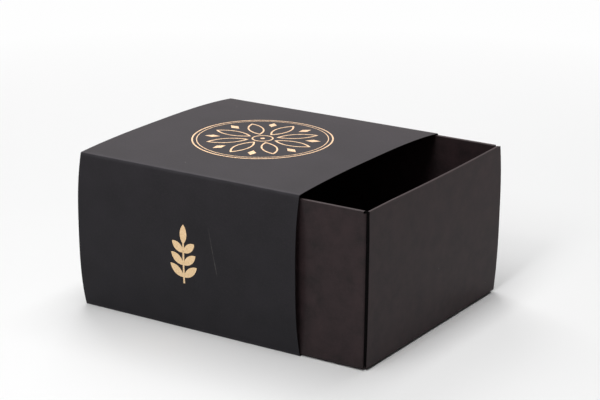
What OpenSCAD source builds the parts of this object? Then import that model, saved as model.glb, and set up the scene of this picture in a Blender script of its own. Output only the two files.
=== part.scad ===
// Sliding drawer gift box: a folded board sleeve, open at both ends, and a
// folded double-wall tray that slides out of it like a drawer.
// X is the way the tray slides out, Z is up, and the origin is the centre of
// the sleeve's underside. Facing the tray's front, left is -Y and right is +Y.
// Each blank is split at its creases into the panels that its die line names.

/* [Sleeve] */
// Length of the sleeve along the slide
sleeve_l = 130; // [100:1:220]
// Width of the sleeve between its side creases
sleeve_w = 130; // [100:1:220]
// Height of the sleeve from crease to crease
sleeve_h = 80; // [60:1:140]
// Thickness of the sleeve's board
sleeve_t = 0.45; // [0.3:0.05:0.8]
// Outer radius of the sleeve's creases
crease_r = 0.6; // [0.3:0.05:1]
// How far each side panel bows out at mid-height
side_bow = 4.2; // [0.5:0.1:8]
// How far the top panel bows up in the middle
top_bow = 2; // [0.5:0.1:5]
// Fullness of the bows, where more is flatter in the middle
bow_power = 2.8; // [2:0.1:4]

/* [Glue flap] */
// Height of the glue flap behind the right side panel
flap_h = 15; // [8:1:30]
// How far the flap stops short of each end of the sleeve at its crease
flap_inset = 1; // [0.5:0.5:5]
// How much further it draws in at its free edge
flap_taper = 4; // [1:0.5:12]
// Thickness of the adhesive film
glue_t = 0.1; // [0.05:0.01:0.2]
// Bare margin round the adhesive
glue_margin = 2; // [1:0.5:3]

/* [Tray] */
// How far the tray's front stands out of the sleeve
pull_out = 36.4; // [0:0.1:90]
// How much shorter the tray is than the sleeve
tray_short = 0.4; // [0:0.1:3]
// Thickness of the tray's board
tray_t = 0.45; // [0.3:0.05:0.8]
// Gap under the tray's base
base_gap = 0.25; // [0.1:0.05:1]
// Gap on each side of the tray at the sleeve's creases
side_gap = 0.2; // [0.1:0.05:1]
// Gap over the tray's rims at the sleeve's creases
top_gap = 0.75; // [0.3:0.05:3]

/* [Double walls] */
// Width of the rolled rims on the front and back walls
end_rim_w = 1.6; // [1.5:0.1:3]
// Width of the rolled rims on the left and right walls
side_rim_w = 2; // [1.5:0.1:4]
// How far the front and back panels stop short of the tray's sides at the base
end_inset_low = 0.4; // [0.2:0.1:1]
// The same at the rim
end_inset_high = 1.6; // [1:0.1:3]
// Gap round the linings where they meet at the corners
lining_gap = 0.1; // [0.05:0.05:0.3]

/* [Corner tabs] */
// Outer radius of the bend from a side panel into its corner tab
corner_r = 1.6; // [1.2:0.1:3]
// Length of a corner tab inside the front or back wall
tab_l = 38; // [15:1:45]
// Play between a corner tab and the front or back panel
tab_play = 0.15; // [0.05:0.05:0.3]
// How far a corner tab's upper edge lies below the rims
tab_drop = 1; // [0.6:0.1:4]
// How far a corner tab's lower edge lies above the base
tab_lift = 1; // [0.2:0.1:4]

/* [Lining feet] */
// Width of the feet that lock the front and back linings into the base
foot_w = 18; // [8:1:24]
// Distance of each foot's centre from the middle of the wall
foot_y = 32; // [25:1:38]
// Gap round each foot in its slot
foot_gap = 0.05; // [0.02:0.01:0.2]

/* [Foil ornaments] */
// Thickness of the stamped foil
foil_t = 0.06; // [0.03:0.01:0.1]
// Outer radius of the rosette on the top panel
rosette_r = 36; // [25:1:42]
// Width of the rosette's lines
rosette_line = 0.8; // [0.5:0.1:1.5]
// Number of petals in the rosette
petal_count = 8; // [5:1:12]
// Height of the sprig on the left panel
sprig_h = 30; // [20:1:40]
// Length of the sprig's leaves
leaf_l = 10; // [6:0.5:12]
// Width of the sprig's leaves
leaf_w = 4; // [2.5:0.1:5]
// Number of leaf pairs on the sprig
leaf_pairs = 3; // [2:1:4]

/* [Hidden] */

SOFT_BLACK = "#1b1b1d";
DYED_BLACK = "#211c1d";
ADHESIVE = "#b9ad8c";
FOIL = "#e6bd86";

steps = 32;      // straight steps along a bow
fold_steps = 6;  // straight steps round a crease
bend_fn = 48;    // smoothness of the corner tabs' bends
curve_fn = 96;   // smoothness of the foil's curves
cut = 1;         // how far a cutting shape runs past what it cuts

// Tray, from the sleeve and the gaps
tray_l = sleeve_l - tray_short;
tray_left = -sleeve_w / 2 + sleeve_t + side_gap;
tray_right = sleeve_w / 2 - 2 * sleeve_t - glue_t - side_gap;
tray_w = tray_right - tray_left;
tray_h = sleeve_h - 2 * sleeve_t - base_gap - top_gap;
tray_at = [sleeve_l / 2 + pull_out - tray_l / 2, (tray_left + tray_right) / 2, sleeve_t + base_gap];

// Corner tabs lie between the end panels and the end linings
tab_face = tray_l / 2 - tray_t - tab_play;
bend_x = tab_face - corner_r;
bend_y = tray_w / 2 - corner_r;
side_panel_l = 2 * bend_x;
slot_x = tray_l / 2 - end_rim_w;

// Bow of a side panel at height z, and of the top panel at y
function bow(s, rise) = rise * (1 - pow(abs(s), bow_power));
function side_out(z) = bow(2 * z / sleeve_h - 1, side_bow);
function top_up(y) = bow(2 * y / sleeve_w, top_bow);

// Evenly spaced inner stations of a bow, from a to b
function stations(a, b) = [for (i = [1:steps - 1]) a + (b - a) * i / steps];

// Points round the crease at k, between its neighbours a and b
function unit(v) = v / norm(v);
function crease(k, a, b) =
    let (ua = unit(a - k), ub = unit(b - k), mid = unit(ua + ub))
    let (half = acos(ua * mid), centre = k + mid * crease_r / sin(half))
    let (ta = k + ua * crease_r / tan(half), from = unit(ta - centre))
    let (swing = 180 - 2 * half, turn = cross(ua, ub) < 0 ? 1 : -1)
    [for (i = [0:fold_steps]) let (g = turn * swing * i / fold_steps)
        centre + crease_r * [from.x * cos(g) - from.y * sin(g), from.x * sin(g) + from.y * cos(g)]];
function first_half(points) = [for (i = [0:fold_steps / 2]) points[i]];
function last_half(points) = [for (i = [fold_steps / 2:fold_steps]) points[i]];
function reversed(points) = [for (i = [len(points) - 1:-1:0]) points[i]];
function mirrored(points) = [for (p = points) [-p.x, p.y]];

// Sleeve section, in Y and Z: the left half of each crease
left_points = [for (z = stations(0, sleeve_h)) [-sleeve_w / 2 - side_out(z), z]];
top_points = [for (y = stations(-sleeve_w / 2, sleeve_w / 2)) [y, sleeve_h + top_up(y)]];
low_crease = crease([-sleeve_w / 2, 0], left_points[0], [0, 0]);
high_crease = crease([-sleeve_w / 2, sleeve_h], left_points[steps - 2], top_points[0]);
low_inner = [-sleeve_w / 2 + sleeve_t - side_out(sleeve_t), sleeve_t];
high_inner = [-sleeve_w / 2 + sleeve_t - side_out(sleeve_h - sleeve_t),
    sleeve_h - sleeve_t + top_up(sleeve_w / 2 - sleeve_t)];
flap_face = sleeve_w / 2 - sleeve_t - glue_t;
flap_points = [for (i = [1:steps / 4]) let (z = flap_h * i * 4 / steps) [flap_face + side_out(z), z]];
flap_crease = crease([flap_face, 0], [0, 0], flap_points[0]);
flap_inner = [flap_face - sleeve_t + side_out(sleeve_t), sleeve_t];

module along_sleeve(points, length = sleeve_l) {
    rotate([90, 0, 90]) linear_extrude(length, center = true) polygon(points);
}

// ---- Sleeve ----

module sleeve_base_panel() {
    color(SOFT_BLACK)
        along_sleeve(concat(last_half(low_crease), first_half(flap_crease), [flap_inner, low_inner]));
}

module sleeve_left_panel() {
    inner = [for (p = left_points) [p.x + sleeve_t, p.y]];
    color(SOFT_BLACK)
        along_sleeve(concat(reversed(first_half(low_crease)), left_points, first_half(high_crease),
            [high_inner], reversed(inner), [low_inner]));
}

module sleeve_top_panel() {
    inner = [for (p = top_points) [p.x, p.y - sleeve_t]];
    color(SOFT_BLACK)
        along_sleeve(concat(last_half(high_crease), top_points,
            reversed(mirrored(last_half(high_crease))), mirrored([high_inner]), reversed(inner),
            [high_inner]));
}

// The right panel ends in a bare edge outside the flap, just off the table
module sleeve_right_panel() {
    outer = mirrored(left_points);
    inner = [for (p = outer) [p.x - sleeve_t, p.y]];
    foot = [sleeve_w / 2 + side_out(glue_t), glue_t];
    color(SOFT_BLACK)
        along_sleeve(concat([foot], outer, mirrored(first_half(high_crease)), mirrored([high_inner]),
            reversed(inner), [foot - [sleeve_t, 0]]));
}

// The flap folds up from the base panel and lies inside the right panel
module sleeve_glue_flap() {
    inner = [for (p = flap_points) [p.x - sleeve_t, p.y]];
    low = sleeve_l / 2 - flap_inset;
    high = low - flap_taper;
    color(SOFT_BLACK) intersection() {
        along_sleeve(concat(last_half(flap_crease), flap_points, reversed(inner), [flap_inner]));
        rotate([90, 0, 0]) linear_extrude(2 * sleeve_w, center = true)
            polygon([[-low, -cut], [low, -cut], [low, 0], [high, flap_h + cut], [-high, flap_h + cut],
                [-low, 0]]);
    }
}

module sleeve_glue_film() {
    face = [for (i = [0:steps / 4]) let (z = glue_margin + (flap_h - 2 * glue_margin) * i * 4 / steps)
        [sleeve_w / 2 - sleeve_t + side_out(z), z]];
    back = [for (p = face) [p.x - glue_t, p.y]];
    color(ADHESIVE)
        along_sleeve(concat(face, reversed(back)), sleeve_l - 2 * (flap_inset + flap_taper + glue_margin));
}

// ---- Foil ----

// A pointed leaf along +Y from the origin, from two equal arcs
module leaf(length, width) {
    r = (pow(length / 2, 2) + pow(width / 2, 2)) / width;
    translate([0, length / 2]) intersection() {
        translate([r - width / 2, 0]) circle(r, $fn = curve_fn);
        translate([width / 2 - r, 0]) circle(r, $fn = curve_fn);
    }
}

module ring(outer, line) {
    difference() {
        circle(outer, $fn = curve_fn);
        circle(outer - line, $fn = curve_fn);
    }
}

// Two rings round a flower of outlined petals, with a lozenge between each two
module rosette() {
    petal_from = rosette_r * 0.2;
    petal_l = rosette_r * 0.6;
    petal_w = 1.2 * (petal_from + petal_l / 2) * sin(180 / petal_count);
    lozenge = rosette_r * 0.06;
    ring(rosette_r, rosette_line);
    ring(rosette_r - 3 * rosette_line, rosette_line * 0.6);
    ring(petal_from - 2 * rosette_line, rosette_line);
    circle(rosette_line * 1.5, $fn = curve_fn);
    for (i = [0:petal_count - 1]) rotate(360 * i / petal_count) {
        translate([0, petal_from]) difference() {
            leaf(petal_l, petal_w);
            translate([0, 2 * rosette_line]) leaf(petal_l - 4 * rosette_line, petal_w - 2 * rosette_line);
        }
        rotate(180 / petal_count) translate([0, rosette_r * 0.72])
            polygon([[lozenge, 0], [0, 1.8 * lozenge], [-lozenge, 0], [0, -1.8 * lozenge]]);
    }
}

// An upright stem with pairs of leaves and one leaf at its tip
module sprig() {
    stem_w = leaf_w / 4;
    pitch = (sprig_h - leaf_l - stem_w) / leaf_pairs;
    translate([0, -sprig_h / 2]) {
        translate([-stem_w / 2, 0]) square([stem_w, sprig_h - leaf_l + stem_w]);
        translate([0, sprig_h - leaf_l]) leaf(leaf_l, leaf_w);
        for (i = [0:leaf_pairs - 1], side = [-1, 1])
            translate([0, pitch * (i + 0.5)]) rotate(side * 52) leaf(leaf_l * (1 - 0.08 * i), leaf_w);
    }
}

module top_foil_rosette() {
    skin = [for (p = top_points) if (abs(p.x) <= rosette_r + 2 * sleeve_w / steps) p];
    lifted = [for (p = skin) [p.x, p.y + foil_t]];
    color(FOIL) intersection() {
        along_sleeve(concat(skin, reversed(lifted)));
        translate([0, 0, sleeve_h]) linear_extrude(top_bow + cut) rosette();
    }
}

module side_foil_sprig() {
    skin = [for (p = left_points) if (abs(p.y - sleeve_h / 2) <= sprig_h / 2 + 2 * sleeve_h / steps) p];
    lifted = [for (p = skin) [p.x - foil_t, p.y]];
    color(FOIL) intersection() {
        along_sleeve(concat(skin, reversed(lifted)));
        translate([0, -sleeve_w / 2, sleeve_h / 2]) rotate([90, 0, 0]) linear_extrude(side_bow + cut) sprig();
    }
}

// ---- Tray ----

// Outlines of a rolled wall, measured inwards from its outer face and upwards
function arc(centre, from, to) =
    [for (i = [0:fold_steps / 2]) let (g = from + (to - from) * i * 2 / fold_steps)
        centre + tray_t * [cos(g), sin(g)]];
function panel_outline() = concat(reversed(arc([tray_t, tray_t], 180, 270)),
    arc([tray_t, tray_h - tray_t], 180, 135), [[tray_t, tray_h - tray_t]]);
function rim_outline(w) = concat(arc([tray_t, tray_h - tray_t], 135, 90),
    arc([w - tray_t, tray_h - tray_t], 90, 45), [[w - tray_t, tray_h - tray_t], [tray_t, tray_h - tray_t]]);
function lining_outline(w) = concat(arc([w - tray_t, tray_h - tray_t], 45, 0), [[w, 0], [w - tray_t, 0],
    [w - tray_t, tray_h - tray_t]]);

module in_tray(turn = 0) {
    translate(tray_at) rotate([0, 0, turn]) children();
}

// A wall strip across the tray's end at +X, or along its side at -Y
module end_strip(points, length) {
    rotate([90, 0, 0]) linear_extrude(length, center = true)
        polygon([for (p = points) [tray_l / 2 - p.x, p.y]]);
}

module side_strip(points, length) {
    rotate([90, 0, 90]) linear_extrude(length, center = true)
        polygon([for (p = points) [p.x - tray_w / 2, p.y]]);
}

// What is seen of an end wall from its front, drawn in towards the rim
module end_face(points) {
    rotate([90, 0, 90]) linear_extrude(2 * tray_l, center = true) polygon(points);
}

module end_panel(turn) {
    low = tray_w / 2 - end_inset_low;
    high = tray_w / 2 - end_inset_high;
    color(DYED_BLACK) in_tray(turn) intersection() {
        end_strip(panel_outline(), tray_w);
        end_face([[-low, 0], [low, 0], [high, tray_h], [-high, tray_h]]);
    }
}

module end_rim(turn) {
    color(DYED_BLACK) in_tray(turn) end_strip(rim_outline(end_rim_w), tray_w - 2 * end_inset_high);
}

// The lining stands on the base, with two feet that reach down into its slots
module end_lining(turn) {
    half = tray_w / 2 - side_rim_w - lining_gap;
    color(DYED_BLACK) in_tray(turn) intersection() {
        end_strip(lining_outline(end_rim_w), tray_w);
        end_face(concat([[-half, tray_h], [-half, tray_t]],
            [for (y = [-foot_y, foot_y], p = [[-1, 1], [-1, 0], [1, 0], [1, 1]])
                [y + p.x * foot_w / 2, p.y * tray_t]],
            [[half, tray_t], [half, tray_h]]));
    }
}

module side_panel(turn) {
    color(DYED_BLACK) in_tray(turn) side_strip(panel_outline(), side_panel_l);
}

module side_rim(turn) {
    color(DYED_BLACK) in_tray(turn) side_strip(rim_outline(side_rim_w), side_panel_l);
}

module side_lining(turn) {
    color(DYED_BLACK) in_tray(turn) intersection() {
        side_strip(lining_outline(side_rim_w), tray_l - 2 * (end_rim_w + lining_gap));
        translate([0, 0, tray_t + tray_h / 2]) cube([2 * tray_l, 2 * tray_w, tray_h], center = true);
    }
}

module tray_base() {
    end_l = tray_l - 2 * tray_t;
    side_w = tray_w - 2 * tray_t;
    color(DYED_BLACK) in_tray() linear_extrude(tray_t) difference() {
        union() {
            square([end_l, 2 * bend_y - 2 * lining_gap], center = true);
            square([side_panel_l, side_w], center = true);
        }
        for (end = [-1, 1], side = [-1, 1])
            translate([end * (slot_x + tray_t / 2), side * foot_y])
                square([tray_t + 2 * foot_gap, foot_w + 2 * foot_gap], center = true);
    }
}

// A tab bends in from a side panel's end and lies inside the end wall.
// It is drawn for the front left corner and mirrored to the others.
module corner_tab(ways) {
    end = bend_y - tab_l;
    color(DYED_BLACK) in_tray() mirror([ways.x < 0 ? 1 : 0, 0, 0]) mirror([0, ways.y < 0 ? 1 : 0, 0])
        difference() {
            linear_extrude(tray_h - tab_drop) {
                intersection() {
                    translate([bend_x, -bend_y]) difference() {
                        circle(corner_r, $fn = bend_fn);
                        circle(corner_r - tray_t, $fn = bend_fn);
                    }
                    translate([bend_x, -bend_y - corner_r]) square(corner_r);
                }
                translate([tab_face - tray_t, -bend_y]) square([tray_t, tab_l]);
            }
            // The flat part clears the base and draws in towards its free end
            end_face([[-bend_y + lining_gap, -cut], [-bend_y + lining_gap, tray_t + tab_lift],
                [-end - tab_l / 4, tray_t + tab_lift], [-end, tray_h / 4], [-end + cut, tray_h / 4],
                [-end + cut, -cut]]);
            end_face([[-end - tab_l / 4, tray_h - tab_drop], [-end, tray_h * 3 / 4],
                [-end + cut, tray_h * 3 / 4], [-end + cut, tray_h + cut], [-end - tab_l / 4, tray_h + cut]]);
        }
}

sleeve_base_panel();
sleeve_left_panel();
sleeve_top_panel();
sleeve_right_panel();
sleeve_glue_flap();
sleeve_glue_film();
top_foil_rosette();
side_foil_sprig();
tray_base();
end_panel(0);  // tray_front_panel
end_rim(0);  // tray_front_rim
end_lining(0);  // tray_front_lining
end_panel(180);  // tray_back_panel
end_rim(180);  // tray_back_rim
end_lining(180);  // tray_back_lining
side_panel(0);  // tray_left_panel
side_rim(0);  // tray_left_rim
side_lining(0);  // tray_left_lining
side_panel(180);  // tray_right_panel
side_rim(180);  // tray_right_rim
side_lining(180);  // tray_right_lining
corner_tab([1, 1]);  // corner_tab_front_left
corner_tab([1, -1]);  // corner_tab_front_right
corner_tab([-1, 1]);  // corner_tab_back_left
corner_tab([-1, -1]);  // corner_tab_back_right
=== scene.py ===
"""Dresses the sliding drawer gift box: a sleeve of soft-touch laminated board with
stamped foil, and a tray of black dyed board with rolled double walls.

Sizes are millimetres in the row frame, until mesh_piece() turns them into metres;
the camera, the lamps and the floor are in metres. A sheet of board is made from its
profile, which is a list of (outer point, inner point) pairs, laid along a row of
stations.
"""
import math

import bmesh
import bpy
from mathutils import Matrix, Vector


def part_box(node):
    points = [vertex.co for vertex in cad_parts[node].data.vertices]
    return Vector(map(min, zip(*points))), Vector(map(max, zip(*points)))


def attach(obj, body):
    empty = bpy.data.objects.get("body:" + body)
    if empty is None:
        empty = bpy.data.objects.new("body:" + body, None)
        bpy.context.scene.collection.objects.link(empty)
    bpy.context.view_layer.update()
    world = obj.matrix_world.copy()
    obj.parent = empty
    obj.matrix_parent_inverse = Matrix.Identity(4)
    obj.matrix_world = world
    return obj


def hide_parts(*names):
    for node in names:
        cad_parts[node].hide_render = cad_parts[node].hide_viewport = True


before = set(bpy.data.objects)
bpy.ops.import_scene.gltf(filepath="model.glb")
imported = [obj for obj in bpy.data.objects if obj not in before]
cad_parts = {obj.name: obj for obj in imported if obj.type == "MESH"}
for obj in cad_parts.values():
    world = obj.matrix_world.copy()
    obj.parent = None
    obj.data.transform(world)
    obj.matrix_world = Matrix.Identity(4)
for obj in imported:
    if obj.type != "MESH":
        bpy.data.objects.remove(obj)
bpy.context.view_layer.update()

MM = 0.001
PHOTO_W = 600


def span(node):
    """Lowest and highest corner of a CAD node, in millimetres."""
    return [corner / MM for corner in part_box(node)]


# Sizes of the part's source
BOARD = span("tray_base")[1].z - span("tray_base")[0].z
SLEEVE_HALF_L = span("sleeve_base_panel")[1].x
SLEEVE_HALF_W = 65.0
SLEEVE_H = 80.0
CREASE_R = 0.6
SIDE_BOW = -span("sleeve_left_panel")[0].y - SLEEVE_HALF_W
TOP_BOW = span("sleeve_top_panel")[1].z - SLEEVE_H
BOW_POWER = 2.8
FLAP_H = 15.0
FLAP_INSET = 1.0
FLAP_TAPER = 4.0
GLUE_T = 0.1
GLUE_MARGIN = 2.0

TRAY_LOW = Vector((span("tray_back_panel")[0].x, span("tray_left_panel")[0].y,
                   span("tray_base")[0].z))
TRAY_HIGH = Vector((span("tray_front_panel")[1].x, span("tray_right_panel")[1].y,
                    span("tray_left_rim")[1].z))
TRAY_MIDDLE = (TRAY_LOW + TRAY_HIGH) / 2
TRAY_HALF_L = (TRAY_HIGH.x - TRAY_LOW.x) / 2
TRAY_HALF_W = (TRAY_HIGH.y - TRAY_LOW.y) / 2
TRAY_H = TRAY_HIGH.z - TRAY_LOW.z
END_RIM_W = 1.6
SIDE_RIM_W = 2.0
LINING_GAP = 0.1
TAB_L = 38.0
TAB_FACE = TRAY_HALF_L - BOARD - 0.15
TAB_DROP = 1.0
TAB_LIFT = 1.0
FOOT_W = 18.0
FOOT_Y = 32.0

ROSETTE_R = 36.0
ROSETTE_LINE = 0.8
PETALS = 8
SPRIG_H = 30.0
LEAF_L = 10.0
LEAF_W = 4.0
LEAF_PAIRS = 3

# What only shows close up
EDGE_BREAK = 0.07       # softened edge of a die-cut board
BEAD_R = 0.5            # bead that the creasing rule raises inside a fold
FOIL_PROUD = 0.035      # stamped foil over the laminate
FOIL_SUNK = 0.02        # and how far it is pressed in
BEND_R = 1.1            # round of the tray's upright corners
BEND_SINK = 1.0         # how far that bend lies behind the tab that it leads to
BEND_X = TAB_FACE - BEND_SINK - BEND_R
BEND_Y = TRAY_HALF_W - BEND_R
TAB_START = 0.05        # where the tab begins after the bend
TAB_RAMP = 1.0          # how far it runs before it lies in its place
TAPER_FROM = 0.75       # share of the tab after which its end tapers
TAB_TIP = 0.25          # how far in its end is at top and foot, as a share of the height
RIM_SHORT = 1.5         # how far an end rim stops before the tray's sides
SCRATCH = (Vector((14.7, -68.0, 57.0)), Vector((19.9, -68.0, 32.3)))

# How the folded board of this box has settled
RACK = 0.5              # how far the sleeve leans over at its top
NEAR_LIFT = 0.3         # how far its left upper fold stands up
FAR_DROP = 0.6          # how far its right upper fold has sunk
FAR_DRAW = 0.12         # and is drawn in
MOUTH_SKEW = 0.45       # how far its mouth is cut back at the left side
SPREAD = 0.42           # how far the tray's walls lean out at their rims
RIM_SINK = 0.6          # how far its left rim has sunk, where the right one hasn't
FRONT_SAG = 0.7         # how far the front rim sags
SAG_Y = 12.0            # where it sags most
SAG_HALF_W = 55.0       # and how far the sag reaches from there
SAG_POWER = 12          # how fast it fades behind the front
FOOT_DRAW = 1.1         # how far the front wall's foot is drawn in
FOOT_LIFT = 0.3         # and lifted
FOOT_POWER = 4          # how fast both fade behind the front
LEFT_END_SHORT = 1.0    # how far an end panel stops before the tray's left side
LEFT_END_HOLLOW = 0.6   # and how much farther at mid-height
RIGHT_END_SHORT = 0.3   # the same at its right end
RIGHT_END_BOW = 2.8     # which bows out at mid-height

# How finely curves and long faces are divided
ARC_STEPS = 8           # half a crease
BOW_STEPS = 48          # across a bowed panel
SLEEVE_STEPS = 52       # along the sleeve
FLOOR_STEPS = 24        # across its underside
FLAP_STEPS = 12         # up the glue flap
FLAP_STATIONS = 40      # along it
FILM_STEPS = 10         # up the film of glue
FILM_STATIONS = 24      # along it
WALL_STEPS = 26         # up a wall of the tray
WALL_STATIONS = 44      # along it
RIM_STEPS = 4           # across a rim
BEND_STEPS = 16         # round a corner bend
RAMP_STEPS = 5          # from the bend to where the tab lies in its place
TAB_STEPS = 20          # along the rest of it
CRISP = 0.1             # a row of points that near keeps the ramp's end crisp
SLIVER = 0.001          # stations this far apart make a sharp step in an edge

# ---- Camera, from the photograph's eight long edges and ten corners ----

CAMERA_AT = Vector((0.5298, -0.7793, 0.3497))
CAMERA_AZIMUTH = math.radians(33.078)
CAMERA_ELEVATION = math.radians(17.689)
CAMERA_ROLL = math.radians(0.045)
FOCAL_PX = 1937.2
SENSOR_W = 36.0


def place_camera():
    """Stands the camera where the photograph was taken from."""
    data = bpy.data.cameras.new("photo_camera")
    data.sensor_fit = "HORIZONTAL"
    data.sensor_width = SENSOR_W
    data.lens = FOCAL_PX / PHOTO_W * SENSOR_W
    data.clip_start = 0.01
    data.clip_end = 20.0
    camera = bpy.data.objects.new("photo_camera", data)
    bpy.context.scene.collection.objects.link(camera)
    az, el, roll = CAMERA_AZIMUTH, CAMERA_ELEVATION, CAMERA_ROLL
    back = Vector((math.sin(az) * math.cos(el), -math.cos(az) * math.cos(el), math.sin(el)))
    level = Vector((math.cos(az), math.sin(az), 0.0))
    upright = back.cross(level)
    right = math.cos(roll) * level + math.sin(roll) * upright
    up = math.cos(roll) * upright - math.sin(roll) * level
    turn = Matrix((right, up, back)).transposed().to_4x4()
    camera.matrix_world = Matrix.Translation(CAMERA_AT) @ turn
    bpy.context.scene.camera = camera


# ---- Materials ----

# Sizes of the patterns, in millimetres
PRINT_CLOUD = 22.0      # slow unevenness of the print under the laminate
TOOTH = 0.9             # the board's tooth is about 0.2, drawn coarser so that it shows
FORMATION = 7.0         # clouds of fibre in the dyed board
FIBRE = 0.5             # a fibre is about 0.03 thick, drawn coarser so that it shows
CORE_FIBRE = 0.4        # the same, raised by the cut
RIPPLE = 1.2            # ripple of the board under the foil
GLUE_CLOUD = 3.0
WEAR_PATCH = 2.5        # patches that handling leaves along a fold
SCRATCH_SKIP = 4.0      # where the scratch skips
SCRATCH_CORE = 0.1      # the scratch to each side of its line
SCRATCH_EDGE = 0.35     # and where it has faded out
DUST_PITCH = 16.0       # from one speck of dust to the next
SPECK_CORE = 0.012      # radius of a speck, as a share of that
SPECK_EDGE = 0.02       # and where it has faded out

NOISE = (0.3, 0.7)      # most of a noise's values lie between these
DUST = "#8d8a86"
WHITE = "#ffffff"
WARM_WHITE = "#fff1f1"  # what the box mirrors of the white studio


def srgb(code):
    """Linear colour of an sRGB hex value."""
    parts = [int(code[i:i + 2], 16) / 255 for i in (1, 3, 5)]
    linear = [c / 12.92 if c <= 0.04045 else ((c + 0.055) / 1.055) ** 2.4 for c in parts]
    return (*linear, 1.0)


def add(tree, kind, links=None, **settings):
    """Adds a node. Links maps its sockets to values or to other nodes' outputs."""
    made = tree.nodes.new(kind)
    for key, value in settings.items():
        setattr(made, key, value)
    for key, value in (links or {}).items():
        if isinstance(value, bpy.types.NodeSocket):
            tree.links.new(value, made.inputs[key])
        else:
            made.inputs[key].default_value = value
    return made


def blank_material(name):
    """A new material and its empty node tree."""
    material = bpy.data.materials.new(name)
    material.use_nodes = True
    material.node_tree.nodes.clear()
    return material, material.node_tree


def grain(tree, size, stretch=(1.0, 1.0, 1.0), turn=(0.0, 0.0, 0.0), detail=2.0, seed=0.0):
    """Noise in the object's millimetres, with features of about that size. Seed moves
    it, so that two of them don't coincide."""
    where = add(tree, "ShaderNodeTexCoord").outputs["Object"]
    scaled = add(tree, "ShaderNodeMapping", {
        "Vector": where, "Location": (seed, seed / 3, -seed / 2), "Rotation": turn,
        "Scale": tuple(1 / (MM * size * s) for s in stretch)}).outputs[0]
    return add(tree, "ShaderNodeTexNoise", {
        "Vector": scaled, "Scale": 1.0, "Detail": detail, "Roughness": 0.55}).outputs["Fac"]


def between(tree, value, low, high, to_low=0.0, to_high=1.0):
    """Value's range from low to high, spread to another and clamped."""
    return add(tree, "ShaderNodeMapRange", {
        "Value": value, "From Min": low, "From Max": high,
        "To Min": to_low, "To Max": to_high}).outputs[0]


def sums(tree, operation, a, b):
    """One sum of two values, each a number or another node's output."""
    return add(tree, "ShaderNodeMath", {0: a, 1: b}, operation=operation).outputs[0]


def tinted(tree, amount, plain, other):
    """Mixes two colours, each a hex value or another node's output. Amount 0 gives
    the plain one."""
    plain, other = [srgb(c) if isinstance(c, str) else c for c in (plain, other)]
    made = add(tree, "ShaderNodeMix", {0: amount, 6: plain, 7: other}, data_type="RGBA")
    return made.outputs[2]


def finish_surface(tree, colour, roughness, height, depth, **constants):
    """The shader itself. Depth is the relief in millimetres."""
    bump = add(tree, "ShaderNodeBump", {"Height": height, "Strength": 1.0, "Distance": depth * MM})
    links = {"Base Color": colour, "Roughness": roughness, "Normal": bump.outputs[0]}
    links.update({key.replace("_", " "): value for key, value in constants.items()})
    shader = add(tree, "ShaderNodeBsdfPrincipled", links)
    add(tree, "ShaderNodeOutputMaterial", {"Surface": shader.outputs[0]})


def fold_wear_and_shade(tree):
    """1 along a fold and 0 away from it, broken up as handling breaks it. The laminate
    lightens there as wear, and the dyed board darkens there as painted shade.
    """
    fold = add(tree, "ShaderNodeAttribute", attribute_name="fold").outputs["Fac"]
    patches = between(tree, grain(tree, WEAR_PATCH, (4, 1, 1)), 0.3, 0.75, 0.35, 1.0)
    return sums(tree, "MULTIPLY", fold, patches)


def dusty(tree, body):
    """The body colour with a few pale specks of dust."""
    where = add(tree, "ShaderNodeTexCoord").outputs["Object"]
    dust = add(tree, "ShaderNodeTexVoronoi", {"Vector": where, "Scale": 1 / (DUST_PITCH * MM)})
    speck = between(tree, dust.outputs["Distance"], SPECK_CORE, SPECK_EDGE, 0.55, 0.0)
    return tinted(tree, speck, body, DUST)


def scratch(tree):
    """1 along the hairline scratch on the sleeve's left side, and 0 elsewhere."""
    where = add(tree, "ShaderNodeTexCoord").outputs["Object"]
    start, end = SCRATCH
    length = (end - start).length * MM
    along = (end - start).normalized()
    across = Vector((along.z, 0.0, -along.x))
    outward = Vector((0.0, -1.0, 0.0))

    def measured(way):
        """How far a point lies from the scratch's start that way, in metres."""
        dot = add(tree, "ShaderNodeVectorMath", {0: where, 1: way}, operation="DOT_PRODUCT")
        return sums(tree, "SUBTRACT", dot.outputs["Value"], start.dot(way) * MM)

    off = sums(tree, "ABSOLUTE", measured(across), 0.0)
    line = between(tree, off, SCRATCH_CORE * MM, SCRATCH_EDGE * MM, 1.0, 0.0)
    passed = measured(along)
    starts_faint = between(tree, passed, 0.0, 0.5 * length)
    ends_sharp = between(tree, passed, 0.9 * length, length, 1.0, 0.0)
    this_side_only = between(tree, measured(outward), -5 * MM, -4 * MM)
    skips = between(tree, grain(tree, SCRATCH_SKIP, seed=5.0), 0.35, 0.55, 0.3, 1.0)
    for mask in (starts_faint, ends_sharp, this_side_only, skips):
        line = sums(tree, "MULTIPLY", line, mask)
    return line


def soft_touch_laminate():
    """Matt velvet film over black print: a cool, even black that greys at grazing
    angles, with the board's faint tooth under it, rubbed folds and a hairline
    scratch."""
    material, tree = blank_material("soft_touch_laminated_board")
    cloud = between(tree, grain(tree, PRINT_CLOUD, seed=3.0), *NOISE)
    tooth = grain(tree, TOOTH, detail=3.0)
    proud = between(tree, tooth, 0.45, 0.75, 0.0, 0.5)
    rubbed = sums(tree, "MULTIPLY", fold_wear_and_shade(tree), 0.5)
    scratched = sums(tree, "MULTIPLY", scratch(tree), 0.2)
    body = tinted(tree, cloud, "#1d1e20", "#242427")
    body = tinted(tree, proud, body, "#2c2b2e")
    body = tinted(tree, rubbed, body, "#47464a")
    body = tinted(tree, scratched, dusty(tree, body), DUST)
    finish_surface(tree, body, between(tree, tooth, *NOISE, 0.62, 0.68), tooth, 0.045,
                   Specular_IOR_Level=0.2, Specular_Tint=srgb("#fff6ff"))
    return material


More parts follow.
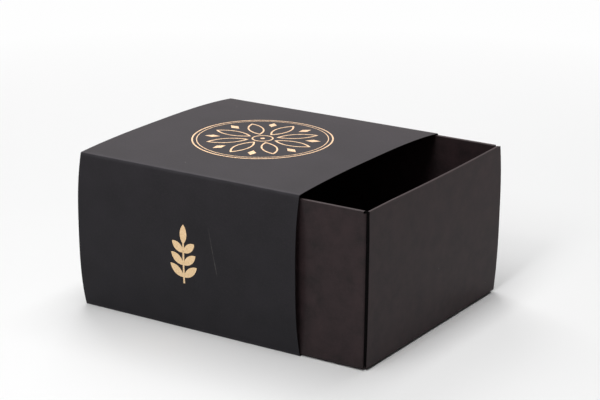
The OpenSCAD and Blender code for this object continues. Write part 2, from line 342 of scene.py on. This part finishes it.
def dyed_board():
    """Board dyed black through, with a thin machine varnish: warm charcoal, matt, with
    clouded formation and short fibres lying every way. Its colour is darkened along
    the folds as painted shade, which also holds down the light that the rims catch."""
    material, tree = blank_material("dyed_uncoated_board")
    cloud = between(tree, grain(tree, FORMATION, detail=4.0, seed=11.0), *NOISE)
    fibres = sums(tree, "MAXIMUM",
                  grain(tree, FIBRE, (6, 6, 1), (0.4, 0.3, 0.2), 3.0),
                  grain(tree, FIBRE, (1, 1, 6), (0.5, 0.2, 0.9), 3.0, 7.0))
    proud = between(tree, fibres, 0.5, 0.8, 0.0, 0.55)
    # painted shade: the colour is darkened along the folds, most on the rims, less at the feet and
    # corner bends
    painted_fold_shade = sums(tree, "MULTIPLY", fold_wear_and_shade(tree), 0.6)
    body = tinted(tree, cloud, "#1a1214", "#2e2123")
    body = tinted(tree, proud, body, "#352a2c")
    body = tinted(tree, painted_fold_shade, dusty(tree, body), "#1a1415")
    finish_surface(tree, body, between(tree, fibres, *NOISE, 0.8, 0.88), fibres, 0.04,
                   Specular_IOR_Level=0.2, Coat_Weight=0.26, Coat_Roughness=0.3)
    return material


def core_and_slit_shade():
    """The board's core where the die cuts it and on the sleeve's inside: loose black
    fibre, duller than the faces. At the tray's corners it is also laid on the bend's
    last step, in the slit between the walls, as painted shade."""
    material, tree = blank_material("board_core_and_slit_shade")
    fibres = grain(tree, CORE_FIBRE, (3, 3, 1), (0.3, 0.6, 0.1), 3.0)
    body = tinted(tree, between(tree, fibres, 0.35, 0.75), "#0b090a", "#141213")
    finish_surface(tree, body, 0.92, fibres, 0.03, Specular_IOR_Level=0.04)
    return material


def stamped_foil():
    """Hot-stamped pale gold foil: a thin mirror-like metal that takes the ripple
    of the board it is pressed into, so its reflections are soft."""
    material, tree = blank_material("hot_stamped_gold_foil")
    ripple = grain(tree, RIPPLE, detail=3.0)
    body = tinted(tree, between(tree, ripple, *NOISE), "#f2d0a0", "#f9dbb0")
    finish_surface(tree, body, between(tree, ripple, *NOISE, 0.22, 0.34), ripple, 0.02,
                   Metallic=1.0)
    return material


def dried_glue():
    """Dried dispersion glue: a slightly cloudy, yellowish film."""
    material, tree = blank_material("dried_dispersion_glue")
    cloud = grain(tree, GLUE_CLOUD)
    body = tinted(tree, between(tree, cloud, *NOISE), "#b3a684", "#c4b999")
    finish_surface(tree, body, 0.4, cloud, 0.01, Specular_IOR_Level=0.5)
    return material


LAMINATE = soft_touch_laminate()
DYED = dyed_board()
CORE_AND_SLIT_SHADE = core_and_slit_shade()
FOIL = stamped_foil()
GLUE = dried_glue()


# ---- Making pieces ----

SAME_POINT = 1e-7       # metres
SHARP_FROM = math.radians(32)


def mesh_piece(name, points, faces, skins, folds=None):
    """A closed piece in millimetres. Each face is (point numbers, which skin)."""
    mesh = bpy.data.meshes.new(name)
    mesh.from_pydata([Vector(p) * MM for p in points], [], [f for f, _ in faces])
    for skin in skins:
        mesh.materials.append(skin)
    for polygon, (_, skin) in zip(mesh.polygons, faces):
        polygon.material_index = skin
    if folds:
        mesh.attributes.new("fold", "FLOAT", "POINT").data.foreach_set("value", folds)
    work = bmesh.new()
    work.from_mesh(mesh)
    bmesh.ops.remove_doubles(work, verts=work.verts, dist=SAME_POINT)
    bmesh.ops.recalc_face_normals(work, faces=work.faces)
    work.to_mesh(mesh)
    work.free()
    mesh.shade_smooth()
    mesh.set_sharp_from_angle(angle=SHARP_FROM)
    piece = bpy.data.objects.new(name, mesh)
    bpy.context.scene.collection.objects.link(piece)
    return piece


def sheet(name, profile, stations, lay, skins, cut_ends=(True, True), free=(False, False),
          folds=None, shade_skin_from=None):
    """A strip of board. Lay puts a profile point at a station, in millimetres. The
    first skin is the outer face's, and the second is the rest's. Cut ends and free
    profile edges are softened, and joined ones stay square. Folds gives each profile
    point's fold mark: wear on the laminate, painted shade on the dyed board. From the
    last argument's profile point on, the outer face has the second skin, as painted shade."""
    profile = [(Vector(a), Vector(b)) for a, b in profile]
    folds = list(folds or [0.0] * len(profile))
    for side, at in ((free[0], 0), (free[1], -1)):
        if side:
            a, b = profile[at]
            step = (b - a).normalized() * EDGE_BREAK
            back = (profile[1 if at == 0 else -2][0] - a).normalized() * EDGE_BREAK
            inner = (a + back, b + back)
            profile[at] = inner
            profile.insert(0 if at == 0 else len(profile), (a + step, b - step))
            folds.insert(0 if at == 0 else len(folds), folds[at])
    rows = [(s, 0.0) for s in stations]
    away = EDGE_BREAK if stations[-1] > stations[0] else -EDGE_BREAK
    if cut_ends[0]:
        rows[0:1] = [(stations[0], EDGE_BREAK), (stations[0] + away, 0.0)]
    if cut_ends[1]:
        rows[-1:] = [(stations[-1] - away, 0.0), (stations[-1], EDGE_BREAK)]
    points, values = [], []
    for s, draw_in in rows:
        for (a, b), fold in zip(profile, folds):
            length = max((b - a).length, 1e-9)
            step = (b - a) * (min(draw_in, 0.4 * length) / length)
            points += [lay(a + step, s), lay(b - step, s)]
            values += [fold, 0.0]
    wide = 2 * len(profile)
    faces = []
    for r in range(len(rows) - 1):
        one, two = r * wide, (r + 1) * wide
        for i in range(0, wide - 2, 2):
            # painted shade: past the given profile point the outer face takes the darker second
            # skin
            slit_shade = shade_skin_from is not None and i >= 2 * shade_skin_from
            faces.append(((one + i, one + i + 2, two + i + 2, two + i), int(slit_shade)))
            faces.append(((one + i + 1, two + i + 1, two + i + 3, one + i + 3), 1))
        faces.append(((one, two, two + 1, one + 1), 1))
        faces.append(((one + wide - 2, one + wide - 1, two + wide - 1, two + wide - 2), 1))
    for start in (0, (len(rows) - 1) * wide):
        for i in range(start, start + wide - 2, 2):
            faces.append(((i, i + 1, i + 3, i + 2), 1))
    return mesh_piece(name, points, faces, skins, values)


def evenly(low, high, count):
    """Count equal steps from low to high, with both ends."""
    return [low + (high - low) * i / count for i in range(count + 1)]


def dress(piece, body, slot, *nodes):
    """Puts a piece on its body, in the place of its CAD nodes."""
    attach(piece, body)
    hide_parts(*nodes)


# ---- Sleeve ----

def bow(share, rise):
    """Height of a bowed face, whose share runs from -1 to 1 across it."""
    return rise * (1 - abs(share) ** BOW_POWER)


def side_out(z):
    """How far a side of the sleeve stands out at that height."""
    return bow(2 * z / SLEEVE_H - 1, SIDE_BOW)


def top_up(y):
    """How far the sleeve's top stands up there."""
    return bow(y / SLEEVE_HALF_W, TOP_BOW)


def crease(corner, one, two, radius):
    """Points round the fold at a corner, from the leg to one to the leg to two."""
    corner, one, two = Vector(corner), Vector(one), Vector(two)
    a, b = (one - corner).normalized(), (two - corner).normalized()
    middle = (a + b).normalized()
    half = a.angle(middle)
    centre = corner + middle * (radius / math.sin(half))
    start = corner + a * (radius / math.tan(half)) - centre
    swing = math.pi - 2 * half
    swing *= 1 if a.x * b.y - a.y * b.x < 0 else -1
    points = []
    for i in range(2 * ARC_STEPS + 1):
        g = swing * i / (2 * ARC_STEPS)
        points.append(centre + Vector((start.x * math.cos(g) - start.y * math.sin(g),
                                       start.x * math.sin(g) + start.y * math.cos(g))))
    return points


def folded(corner, one, two, inner_corner, inner_one, inner_two):
    """The (outer, inner) pairs round a fold, with the bead inside it."""
    return list(zip(crease(corner, one, two, CREASE_R),
                    crease(inner_corner, inner_one, inner_two, BEAD_R)))


def mirrored(pairs):
    """A profile of the sleeve's left side, turned into one of its right side."""
    return [(Vector((-a.x, a.y)), Vector((-b.x, b.y))) for a, b in pairs]


SIDE_ROWS = [(Vector((-SLEEVE_HALF_W - side_out(z), z)),
              Vector((BOARD - SLEEVE_HALF_W - side_out(z), z)))
             for z in evenly(0, SLEEVE_H, BOW_STEPS)[1:-1]]
TOP_ROWS = [(Vector((y, SLEEVE_H + top_up(y))), Vector((y, SLEEVE_H - BOARD + top_up(y))))
            for y in evenly(-SLEEVE_HALF_W, SLEEVE_HALF_W, BOW_STEPS)[1:-1]]
LOW_CORNER = Vector((-SLEEVE_HALF_W, 0.0))
HIGH_CORNER = Vector((-SLEEVE_HALF_W, SLEEVE_H))
LOW_INNER = Vector((BOARD - SLEEVE_HALF_W - side_out(BOARD), BOARD))
HIGH_INNER = Vector((BOARD - SLEEVE_HALF_W - side_out(SLEEVE_H - BOARD),
                     SLEEVE_H - BOARD + top_up(SLEEVE_HALF_W - BOARD)))
LOW_FOLD = folded(LOW_CORNER, SIDE_ROWS[0][0], (0, 0), LOW_INNER, SIDE_ROWS[0][1], (0, BOARD))
HIGH_FOLD = folded(HIGH_CORNER, SIDE_ROWS[-1][0], TOP_ROWS[0][0],
                   HIGH_INNER, SIDE_ROWS[-1][1], TOP_ROWS[0][1])
FLAP_FACE = SLEEVE_HALF_W - BOARD - GLUE_T
FLAP_ROWS = [(Vector((FLAP_FACE + side_out(z), z)), Vector((FLAP_FACE - BOARD + side_out(z), z)))
             for z in evenly(0, FLAP_H, FLAP_STEPS)[1:]]
FLAP_FOLD = folded((FLAP_FACE, 0), (0, 0), FLAP_ROWS[0][0],
                   (FLAP_FACE - BOARD + side_out(BOARD), BOARD), (0, BOARD), FLAP_ROWS[0][1])
FLOOR_HALF_W = 60.0     # flat part of the underside


def settled_sleeve(x, y, z):
    """Where a point of the sleeve lies once the folded board has settled: it leans
    a little to the left, its left upper fold stands up, its right one has sunk and
    is drawn in, and its mouth is cut back at the left."""
    up, side, ahead = z / SLEEVE_H, y / SLEEVE_HALF_W, max(0.0, x / SLEEVE_HALF_L)
    far, near = max(0.0, side) ** 3, max(0.0, -side) ** 3
    lean = RACK * (0.5 * bow(2 * up - 1, 1.0) * max(0.0, -side) - up) - FAR_DRAW * far * up
    short = MOUTH_SKEW * ahead * (1 - side) / 2
    return Vector((x - short, y + lean, z + (NEAR_LIFT * near - FAR_DROP * far) * up))


def along_sleeve(point, x):
    """Lays a profile point, which is (y, z), at a station x."""
    return settled_sleeve(x, point.x, point.y)


def fold_marks(arc_first, rows, arc_last):
    """Fold wear for a profile: 1 on the arcs, fading over the next row."""
    return [1.0] * arc_first + [0.0] * rows + [1.0] * arc_last


def make_sleeve():
    """The four panels, the glue flap and its film. Each fold's arc is halved
    between the two panels that meet there."""
    half, lengths = ARC_STEPS + 1, evenly(-SLEEVE_HALF_L, SLEEVE_HALF_L, SLEEVE_STEPS)
    skins = (LAMINATE, CORE_AND_SLIT_SHADE)
    left = LOW_FOLD[:half][::-1] + SIDE_ROWS + HIGH_FOLD[:half]
    marks = fold_marks(half, len(SIDE_ROWS), half)
    piece = sheet("sleeve_left_side", left, lengths, along_sleeve, skins, folds=marks)
    dress(piece, "sleeve", "soft_touch_board", "sleeve_left_panel")

    top = HIGH_FOLD[half - 1:] + TOP_ROWS + mirrored(HIGH_FOLD[half - 1:])[::-1]
    marks = fold_marks(half, len(TOP_ROWS), half)
    piece = sheet("sleeve_top_side", top, lengths, along_sleeve, skins, folds=marks)
    dress(piece, "sleeve", "soft_touch_board", "sleeve_top_panel")

    foot_z = GLUE_T
    foot = (Vector((SLEEVE_HALF_W + side_out(foot_z), foot_z)),
            Vector((SLEEVE_HALF_W - BOARD + side_out(foot_z), foot_z)))
    right = [foot] + mirrored(SIDE_ROWS) + mirrored(HIGH_FOLD[:half])
    marks = fold_marks(0, len(SIDE_ROWS) + 1, half)
    piece = sheet("sleeve_right_side", right, lengths, along_sleeve, skins,
                  free=(True, False), folds=marks)
    dress(piece, "sleeve", "soft_touch_board", "sleeve_right_panel")

    floor = [(Vector((y, 0.0)), Vector((y, BOARD)))
             for y in evenly(-FLOOR_HALF_W, FLOOR_HALF_W, FLOOR_STEPS)]
    base = LOW_FOLD[half - 1:] + floor + FLAP_FOLD[:half]
    marks = fold_marks(half, len(floor), half)
    piece = sheet("sleeve_underside", base, lengths, along_sleeve, skins, folds=marks)
    dress(piece, "sleeve", "soft_touch_board", "sleeve_base_panel")

    def lay_flap(point, share):
        length = SLEEVE_HALF_L - FLAP_INSET - FLAP_TAPER * max(0.0, point.y) / FLAP_H
        return settled_sleeve(share * length, point.x, point.y)

    flap = FLAP_FOLD[half - 1:] + FLAP_ROWS
    marks = fold_marks(half, len(FLAP_ROWS), 0)
    piece = sheet("sleeve_seam_flap", flap, evenly(-1, 1, FLAP_STATIONS), lay_flap, skins,
                  cut_ends=(False, False), free=(False, True), folds=marks)
    dress(piece, "sleeve", "soft_touch_board", "sleeve_glue_flap")

    film = [(Vector((SLEEVE_HALF_W - BOARD + side_out(z), z)), Vector((FLAP_FACE + side_out(z), z)))
            for z in evenly(GLUE_MARGIN, FLAP_H - GLUE_MARGIN, FILM_STEPS)]
    reach = SLEEVE_HALF_L - FLAP_INSET - FLAP_TAPER - GLUE_MARGIN
    piece = sheet("seam_glue", film, evenly(-reach, reach, FILM_STATIONS), along_sleeve,
                  (GLUE, GLUE), cut_ends=(False, False))
    dress(piece, "sleeve", "adhesive", "sleeve_glue_film")


# ---- Foil ----

LEAF_STEPS = 24
RING_STEPS = 180
SMALL_RING_STEPS = 64
DOT_STEPS = 20
STEM_STEPS = 16
POINT = 0.01            # share of its width that a pointed end keeps
LEAF_TURN = math.radians(52)
LEAF_SHRINK = 0.08      # each pair of leaves is that much shorter than the one below


def stamp(name, ribbons, lay):
    """Foil made of ribbons, each a list of point pairs across it, closed or not."""
    points, faces = [], []
    for pairs, closed in ribbons:
        start = len(points)
        for a, b in pairs:
            for p in (a, b):
                points += [lay(p, FOIL_PROUD), lay(p, -FOIL_SUNK)]
        count = len(pairs)
        for i in range(count if closed else count - 1):
            one, two = start + 4 * i, start + 4 * ((i + 1) % count)
            faces += [((one, one + 2, two + 2, two), 0), ((one + 1, two + 1, two + 3, one + 3), 0),
                      ((one, two, two + 1, one + 1), 0), ((one + 2, one + 3, two + 3, two + 2), 0)]
        if not closed:
            for end in (start, start + 4 * (count - 1)):
                faces.append(((end, end + 1, end + 3, end + 2), 0))
    return mesh_piece(name, points, faces, (FOIL,))


def turned(pairs, angle):
    """A ribbon turned about the ornament's middle."""
    spin = Matrix.Rotation(angle, 2)
    return [(spin @ Vector(a), spin @ Vector(b)) for a, b in pairs]


def moved(pairs, shift):
    """A ribbon moved by a shift."""
    return [(Vector(a) + Vector(shift), Vector(b) + Vector(shift)) for a, b in pairs]


def leaf_width(along, length, width):
    """Half the width of a pointed leaf between two equal arcs."""
    radius = ((length / 2) ** 2 + (width / 2) ** 2) / width
    return math.sqrt(max(0.0, radius ** 2 - (along - length / 2) ** 2)) - (radius - width / 2)


def leaf(length, width):
    """A whole leaf, as pairs of points across it from foot to tip."""
    rows = [length * (0.5 - 0.5 * math.cos(math.pi * i / LEAF_STEPS))
            for i in range(LEAF_STEPS + 1)]
    halves = [max(1e-3, leaf_width(y, length, width)) for y in rows]
    return [((-half, y), (half, y)) for half, y in zip(halves, rows)]


def leaf_loop(length, width, lift):
    """A leaf's outline, lifted from the middle."""
    rows = leaf(length, width)
    return ([(b[0], b[1] + lift) for a, b in rows] + [(a[0], a[1] + lift) for a, b in rows[::-1]])


def ring(radius, line, steps=RING_STEPS):
    """A ring, as pairs of points across its line."""
    turn = [2 * math.pi * i / steps for i in range(steps)]
    return [((radius * math.cos(g), radius * math.sin(g)),
             ((radius - line) * math.cos(g), (radius - line) * math.sin(g))) for g in turn]


def rosette_ribbons():
    """Two rings, eight petals with lozenges between them, and a ring with a dot."""
    petal_from, petal_l = ROSETTE_R * 0.2, ROSETTE_R * 0.6
    petal_w = 1.2 * (petal_from + petal_l / 2) * math.sin(math.pi / PETALS)
    ribbons = [(ring(ROSETTE_R, ROSETTE_LINE), True),
               (ring(ROSETTE_R - 3 * ROSETTE_LINE, ROSETTE_LINE * 0.6), True),
               (ring(petal_from - 2 * ROSETTE_LINE, ROSETTE_LINE, SMALL_RING_STEPS), True)]
    dot_r = ROSETTE_LINE * 1.5
    dot = [(dot_r * math.sin(g), -dot_r * math.cos(g))
           for g in evenly(0.05, math.pi - 0.05, DOT_STEPS)]
    ribbons.append(([((-x, y), (x, y)) for x, y in dot], False))
    outer = leaf_loop(petal_l, petal_w, petal_from)
    inner = leaf_loop(petal_l - 4 * ROSETTE_LINE, petal_w - 2 * ROSETTE_LINE,
                      petal_from + 2 * ROSETTE_LINE)
    size, far = ROSETTE_R * 0.06, ROSETTE_R * 0.72
    lozenge = [((-size * w, far + 1.8 * size * v), (size * w, far + 1.8 * size * v))
               for v, w in ((-1, POINT), (-0.5, 0.5), (0, 1), (0.5, 0.5), (1, POINT))]
    for i in range(PETALS):
        angle = 2 * math.pi * i / PETALS
        ribbons.append((turned(zip(outer, inner), angle), True))
        ribbons.append((turned(lozenge, angle + math.pi / PETALS), False))
    return ribbons


def sprig_ribbons():
    """A stem with a leaf at its tip and pairs of leaves along it."""
    stem_w = LEAF_W / 4
    low = -SPRIG_H / 2
    pitch = (SPRIG_H - LEAF_L - stem_w) / LEAF_PAIRS
    stem_top = SPRIG_H - LEAF_L + stem_w / 2
    stem = [((-stem_w / 2, low + y), (stem_w / 2, low + y))
            for y in evenly(0, stem_top, STEM_STEPS)]
    ribbons = [(stem, False),
               (moved(leaf(LEAF_L, LEAF_W), (0, low + SPRIG_H - LEAF_L)), False)]
    for i in range(LEAF_PAIRS):
        for side in (-1, 1):
            blade = turned(leaf(LEAF_L * (1 - LEAF_SHRINK * i), LEAF_W), side * LEAF_TURN)
            ribbons.append((moved(blade, (0, low + pitch * (i + 0.5))), False))
    return ribbons


def make_foil():
    """The rosette on the sleeve's top and the sprig on its left side."""
    def on_top(point, proud):
        x, y = point
        return settled_sleeve(x, y, SLEEVE_H + top_up(y) + proud)

    def on_left(point, proud):
        x, z = point[0], point[1] + SLEEVE_H / 2
        return settled_sleeve(x, -SLEEVE_HALF_W - side_out(z) - proud, z)

    piece = stamp("top_rosette_foil", rosette_ribbons(), on_top)
    dress(piece, "sleeve", "gold_foil", "top_foil_rosette")
    piece = stamp("side_sprig_foil", sprig_ribbons(), on_left)
    dress(piece, "sleeve", "gold_foil", "side_foil_sprig")


# ---- Tray ----

FOOT_SHADE = 0.6         # painted shade along the fold at a wall's foot, where a rim's is 1
BEND_SHADE = 0.3         # and along a corner bend


def settled_tray(x, y, z):
    """Where a point of the tray lies, from its place in the tray's own frame: its
    walls spread towards their rims, its left rim has sunk, its front rim sags, and
    the front wall's foot is drawn in and lifted."""
    up, side, ahead = z / TRAY_H, y / TRAY_HALF_W, max(0.0, x / TRAY_HALF_L)
    sink = RIM_SINK * (1 - side) / 2
    sink += FRONT_SAG * max(0.0, 1 - ((y - SAG_Y) / SAG_HALF_W) ** 2) * ahead ** SAG_POWER
    foot = ahead ** FOOT_POWER * (1 - up)
    return Vector((TRAY_MIDDLE.x + x - FOOT_DRAW * foot,
                   TRAY_MIDDLE.y + y + SPREAD * side * up,
                   TRAY_LOW.z + z - sink * up ** 3 + FOOT_LIFT * foot ** 2))


def arc(centre, low, high, radius=BOARD, steps=ARC_STEPS):
    """Points round a centre, from one angle to another in degrees."""
    turn = [math.radians(g) for g in evenly(low, high, steps)]
    return [Vector((centre[0] + radius * math.cos(g), centre[1] + radius * math.sin(g)))
            for g in turn]


def wall_panel():
    """Outer skin of a rolled wall: inwards from the outer face, and up. Each rim
    fold's arc is halved between the two pieces that meet there."""
    foot = arc((BOARD, BOARD), 270, 180)
    pairs = list(zip(foot, [Vector((BOARD, v)) for v in evenly(0, BOARD, ARC_STEPS)]))
    rows = evenly(BOARD, TRAY_H - BOARD, WALL_STEPS)[1:-1]
    pairs += [(Vector((0, v)), Vector((BOARD, v))) for v in rows]
    shoulder = Vector((BOARD, TRAY_H - BOARD))
    pairs += [(p, shoulder) for p in arc(shoulder, 180, 135)]
    fold = ARC_STEPS + 1
    return pairs, [FOOT_SHADE] * fold + [0.0] * len(rows) + [1.0] * fold


def wall_rim(width):
    """Rim of a rolled wall, between the two halves of its folds."""
    one, two = Vector((BOARD, TRAY_H - BOARD)), Vector((width - BOARD, TRAY_H - BOARD))
    pairs = [(p, one) for p in arc(one, 135, 90)]
    pairs += [(Vector((u, TRAY_H)), Vector((u, TRAY_H - BOARD)))
              for u in evenly(one.x, two.x, RIM_STEPS)[1:-1]]
    pairs += [(p, two) for p in arc(two, 90, 45)]
    return pairs, [1.0] * len(pairs)


def wall_lining(width):
    """Inner skin of a rolled wall, down to the base."""
    two = Vector((width - BOARD, TRAY_H - BOARD))
    pairs = [(p, two) for p in arc(two, 45, 0)]
    pairs += [(Vector((width, v)), Vector((width - BOARD, v)))
              for v in evenly(TRAY_H - BOARD, 0, WALL_STEPS)[1:]]
    return pairs, [1.0] * (ARC_STEPS + 1) + [0.0] * WALL_STEPS


def make_end_wall(way, side):
    """The front wall is way 1 and the back wall is way -1."""
    def lay(point, y):
        return settled_tray(way * (TRAY_HALF_L - point.x), way * y, point.y)

    def lay_panel(point, y):
        share = 2 * point.y / TRAY_H - 1
        if way * y < 0:
            short = LEFT_END_SHORT + bow(share, LEFT_END_HOLLOW)
        else:
            short = RIGHT_END_SHORT - bow(share, RIGHT_END_BOW)
        return lay(point, y * (1 - short / TRAY_HALF_W))

    def lay_lining(point, y):
        foot = abs(abs(y) - FOOT_Y) <= FOOT_W / 2
        return lay(Vector((point.x, max(point.y, 0.0 if foot else BOARD))), y)

    skins = (DYED, CORE_AND_SLIT_SHADE)
    pairs, marks = wall_panel()
    stations = evenly(-TRAY_HALF_W, TRAY_HALF_W, WALL_STATIONS)
    piece = sheet(f"tray_{side}_face", pairs, stations, lay_panel, skins, folds=marks)
    dress(piece, "tray", "dyed_board", f"tray_{side}_panel")

    pairs, marks = wall_rim(END_RIM_W)
    reach = TRAY_HALF_W - RIM_SHORT
    stations = evenly(-reach, reach, WALL_STATIONS)
    piece = sheet(f"tray_{side}_roll", pairs, stations, lay, skins, folds=marks)
    dress(piece, "tray", "dyed_board", f"tray_{side}_rim")

    pairs, marks = wall_lining(END_RIM_W)
    reach = TRAY_HALF_W - SIDE_RIM_W - LINING_GAP
    stations = evenly(-reach, reach, WALL_STATIONS)
    for y in (-FOOT_Y, FOOT_Y):
        for edge in (-FOOT_W / 2, FOOT_W / 2):
            stations += [y + edge - SLIVER, y + edge + SLIVER]
    piece = sheet(f"tray_{side}_inner_face", pairs, sorted(stations), lay_lining, skins,
                  free=(False, True), folds=marks)
    dress(piece, "tray", "dyed_board", f"tray_{side}_lining")


def make_side_wall(way, side):
    """The left wall is way 1 and the right wall is way -1."""
    def lay(point, x):
        return settled_tray(way * x, way * (point.x - TRAY_HALF_W), point.y)

    def lay_lining(point, x):
        return lay(Vector((point.x, max(point.y, BOARD))), x)

    skins = (DYED, CORE_AND_SLIT_SHADE)
    pairs, marks = wall_panel()
    stations = evenly(-BEND_X, BEND_X, WALL_STATIONS)
    piece = sheet(f"tray_{side}_face", pairs, stations, lay, skins,
                  cut_ends=(False, False), folds=marks)
    dress(piece, "tray", "dyed_board", f"tray_{side}_panel")

    pairs, marks = wall_rim(SIDE_RIM_W)
    piece = sheet(f"tray_{side}_roll", pairs, stations, lay, skins, folds=marks)
    dress(piece, "tray", "dyed_board", f"tray_{side}_rim")

    pairs, marks = wall_lining(SIDE_RIM_W)
    reach = TRAY_HALF_L - END_RIM_W - LINING_GAP
    piece = sheet(f"tray_{side}_inner_face", pairs, evenly(-reach, reach, WALL_STATIONS),
                  lay_lining, skins, free=(False, True), folds=marks)
    dress(piece, "tray", "dyed_board", f"tray_{side}_lining")


def make_corner_tab(end, side, way_x, way_y):
    """Bends in from a side wall's end and lies inside the end wall. From the bend's last
    step on, in the slit between the walls, its outer face takes the dark core skin as painted
    shade."""
    centre = Vector((BEND_X, -BEND_Y))
    profile = list(zip(arc(centre, -90, 0, BEND_R, BEND_STEPS),
                       arc(centre, -90, 0, BEND_R - BOARD, BEND_STEPS)))
    marks = [BEND_SHADE] * len(profile)
    flat = [TAB_START] + evenly(0, TAB_RAMP, RAMP_STEPS)[1:]
    flat += evenly(TAB_RAMP + CRISP, TAB_L, TAB_STEPS)
    for d in flat:
        x = TAB_FACE - BEND_SINK * max(0.0, 1 - d / TAB_RAMP)
        profile.append((Vector((x, d - BEND_Y)), Vector((x - BOARD, d - BEND_Y))))
    marks += [0.0] * len(flat)
    top = TRAY_H - TAB_DROP

    def lay(point, share):
        along = point.y + BEND_Y
        taper = max(0.0, (along / TAB_L - TAPER_FROM) / (1 - TAPER_FROM))
        low = 0.0 if along < TAB_START / 2 else BOARD + TAB_LIFT
        low += (TRAY_H * TAB_TIP - low) * taper
        high = top + (TRAY_H * (1 - TAB_TIP) - top) * taper
        return settled_tray(way_x * point.x, way_y * point.y, low + (high - low) * share)

    # painted shade: the bend's last step and the tab past it take the dark core skin, in the slit
    piece = sheet(f"corner_bend_{end}_{side}", profile, evenly(0, 1, WALL_STEPS), lay,
                  (DYED, CORE_AND_SLIT_SHADE), cut_ends=(False, False), folds=marks, shade_skin_from=BEND_STEPS - 1)
    dress(piece, "tray", "dyed_board", f"corner_tab_{end}_{side}")


def make_base():
    """The CAD base with its slots, settled as the walls are."""
    cad_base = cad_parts["tray_base"]
    mesh = cad_base.data.copy()
    mesh.materials.clear()
    mesh.materials.append(DYED)
    for vertex in mesh.vertices:
        at = cad_base.matrix_world @ vertex.co / MM
        vertex.co = settled_tray(at.x - TRAY_MIDDLE.x, at.y - TRAY_MIDDLE.y,
                                 at.z - TRAY_LOW.z) * MM
    base = bpy.data.objects.new("tray_floor_board", mesh)
    bpy.context.scene.collection.objects.link(base)
    dress(base, "tray", "dyed_board", "tray_base")


def make_tray():
    """Its walls, its corner tabs and its base."""
    make_end_wall(1, "front")
    make_end_wall(-1, "back")
    make_side_wall(1, "left")
    make_side_wall(-1, "right")
    for end, way_x in (("front", 1), ("back", -1)):
        for side, way_y in (("left", 1), ("right", -1)):
            make_corner_tab(end, side, way_x, way_y)
    make_base()


# ---- Studio ----

# Metres and watts
SHADOW_REACH = 0.2      # the floor takes the whole shadow as far from the middle
BURNT_FROM = 0.62       # and is burnt out from there on
BURNT_SHARE = 0.95
FLOOR_REACH = 4.0
FLOOR_LEVEL = -0.00002  # just under the box
ROOM_LIGHT = 0.08       # what the room itself throws on the box
BOX_MIDDLE = (0.02, 0.0, 0.03)


def studio_floor():
    """White paper sweep. It takes the box's soft shadow, and away from the box
    the camera and the foil see it burnt out to white, as the studio's is. It
    throws less light back than white paper, so that the low walls stay dark."""
    material, tree = blank_material("white_paper_sweep")
    path = add(tree, "ShaderNodeLightPath")
    camera, mirror = path.outputs["Is Camera Ray"], path.outputs["Is Glossy Ray"]
    paper = add(tree, "ShaderNodeBsdfDiffuse", {
        "Color": tinted(tree, camera, "#dcdcdc", "#f2f2f2")}).outputs[0]
    glow = add(tree, "ShaderNodeEmission", {
        "Color": tinted(tree, camera, WARM_WHITE, WHITE), "Strength": 1.0}).outputs[0]
    where = add(tree, "ShaderNodeTexCoord").outputs["Object"]
    far = add(tree, "ShaderNodeVectorMath", {0: where}, operation="LENGTH").outputs["Value"]
    burnt = between(tree, far, SHADOW_REACH, BURNT_FROM, 0.0, BURNT_SHARE)
    burnt = sums(tree, "MULTIPLY", burnt, sums(tree, "MAXIMUM", camera, mirror))
    mixed = add(tree, "ShaderNodeMixShader", {0: burnt, 1: paper, 2: glow})
    add(tree, "ShaderNodeOutputMaterial", {"Surface": mixed.outputs[0]})
    mesh = bpy.data.meshes.new("studio_floor")
    corners = [(x * FLOOR_REACH, y * FLOOR_REACH, FLOOR_LEVEL)
               for x, y in ((-1, -1), (1, -1), (1, 1), (-1, 1))]
    mesh.from_pydata(corners, [], [(0, 1, 2, 3)])
    mesh.materials.append(material)
    floor = bpy.data.objects.new("studio_floor", mesh)
    bpy.context.scene.collection.objects.link(floor)


def softbox(name, at, aim, size, watts):
    """A rectangular lamp that stands at one place and is aimed at another."""
    data = bpy.data.lights.new(name, "AREA")
    data.shape = "RECTANGLE"
    data.size, data.size_y = size
    data.energy = watts
    lamp = bpy.data.objects.new(name, data)
    lamp.location = at
    lamp.rotation_euler = (Vector(aim) - Vector(at)).to_track_quat("-Z", "Y").to_euler()
    bpy.context.scene.collection.objects.link(lamp)


def studio_light():
    """A dim room whose walls look white, and three softboxes: a long strip overhead,
    a broad one from behind on the left, and a weak one from the front."""
    world = bpy.data.worlds.new("white_studio")
    bpy.context.scene.world = world
    world.use_nodes = True
    tree = world.node_tree
    tree.nodes.clear()
    path = add(tree, "ShaderNodeLightPath")
    camera = path.outputs["Is Camera Ray"]
    seen = sums(tree, "MAXIMUM", camera, path.outputs["Is Glossy Ray"])
    seen = sums(tree, "MAXIMUM", seen, path.outputs["Is Transmission Ray"])
    room = add(tree, "ShaderNodeBackground", {
        "Color": srgb(WHITE), "Strength": ROOM_LIGHT}).outputs[0]
    white = add(tree, "ShaderNodeBackground", {
        "Color": tinted(tree, camera, WARM_WHITE, WHITE), "Strength": 1.0}).outputs[0]
    mixed = add(tree, "ShaderNodeMixShader", {0: seen, 1: room, 2: white})
    add(tree, "ShaderNodeOutputWorld", {"Surface": mixed.outputs[0]})
    softbox("overhead_strip", at=(0.03, -0.25, 1.2), aim=(0.03, -0.25, 0.0),
            size=(0.5, 2.0), watts=14.0)
    softbox("left_back_softbox", at=(-0.7, 0.7, 1.1), aim=BOX_MIDDLE, size=(0.7, 0.7), watts=6.4)
    softbox("front_fill", at=(0.13, -0.95, 0.8), aim=BOX_MIDDLE, size=(0.25, 0.4), watts=3.4)


place_camera()
make_sleeve()
make_foil()
make_tray()
studio_floor()
studio_light()
bpy.context.scene.view_settings.view_transform = "Standard"
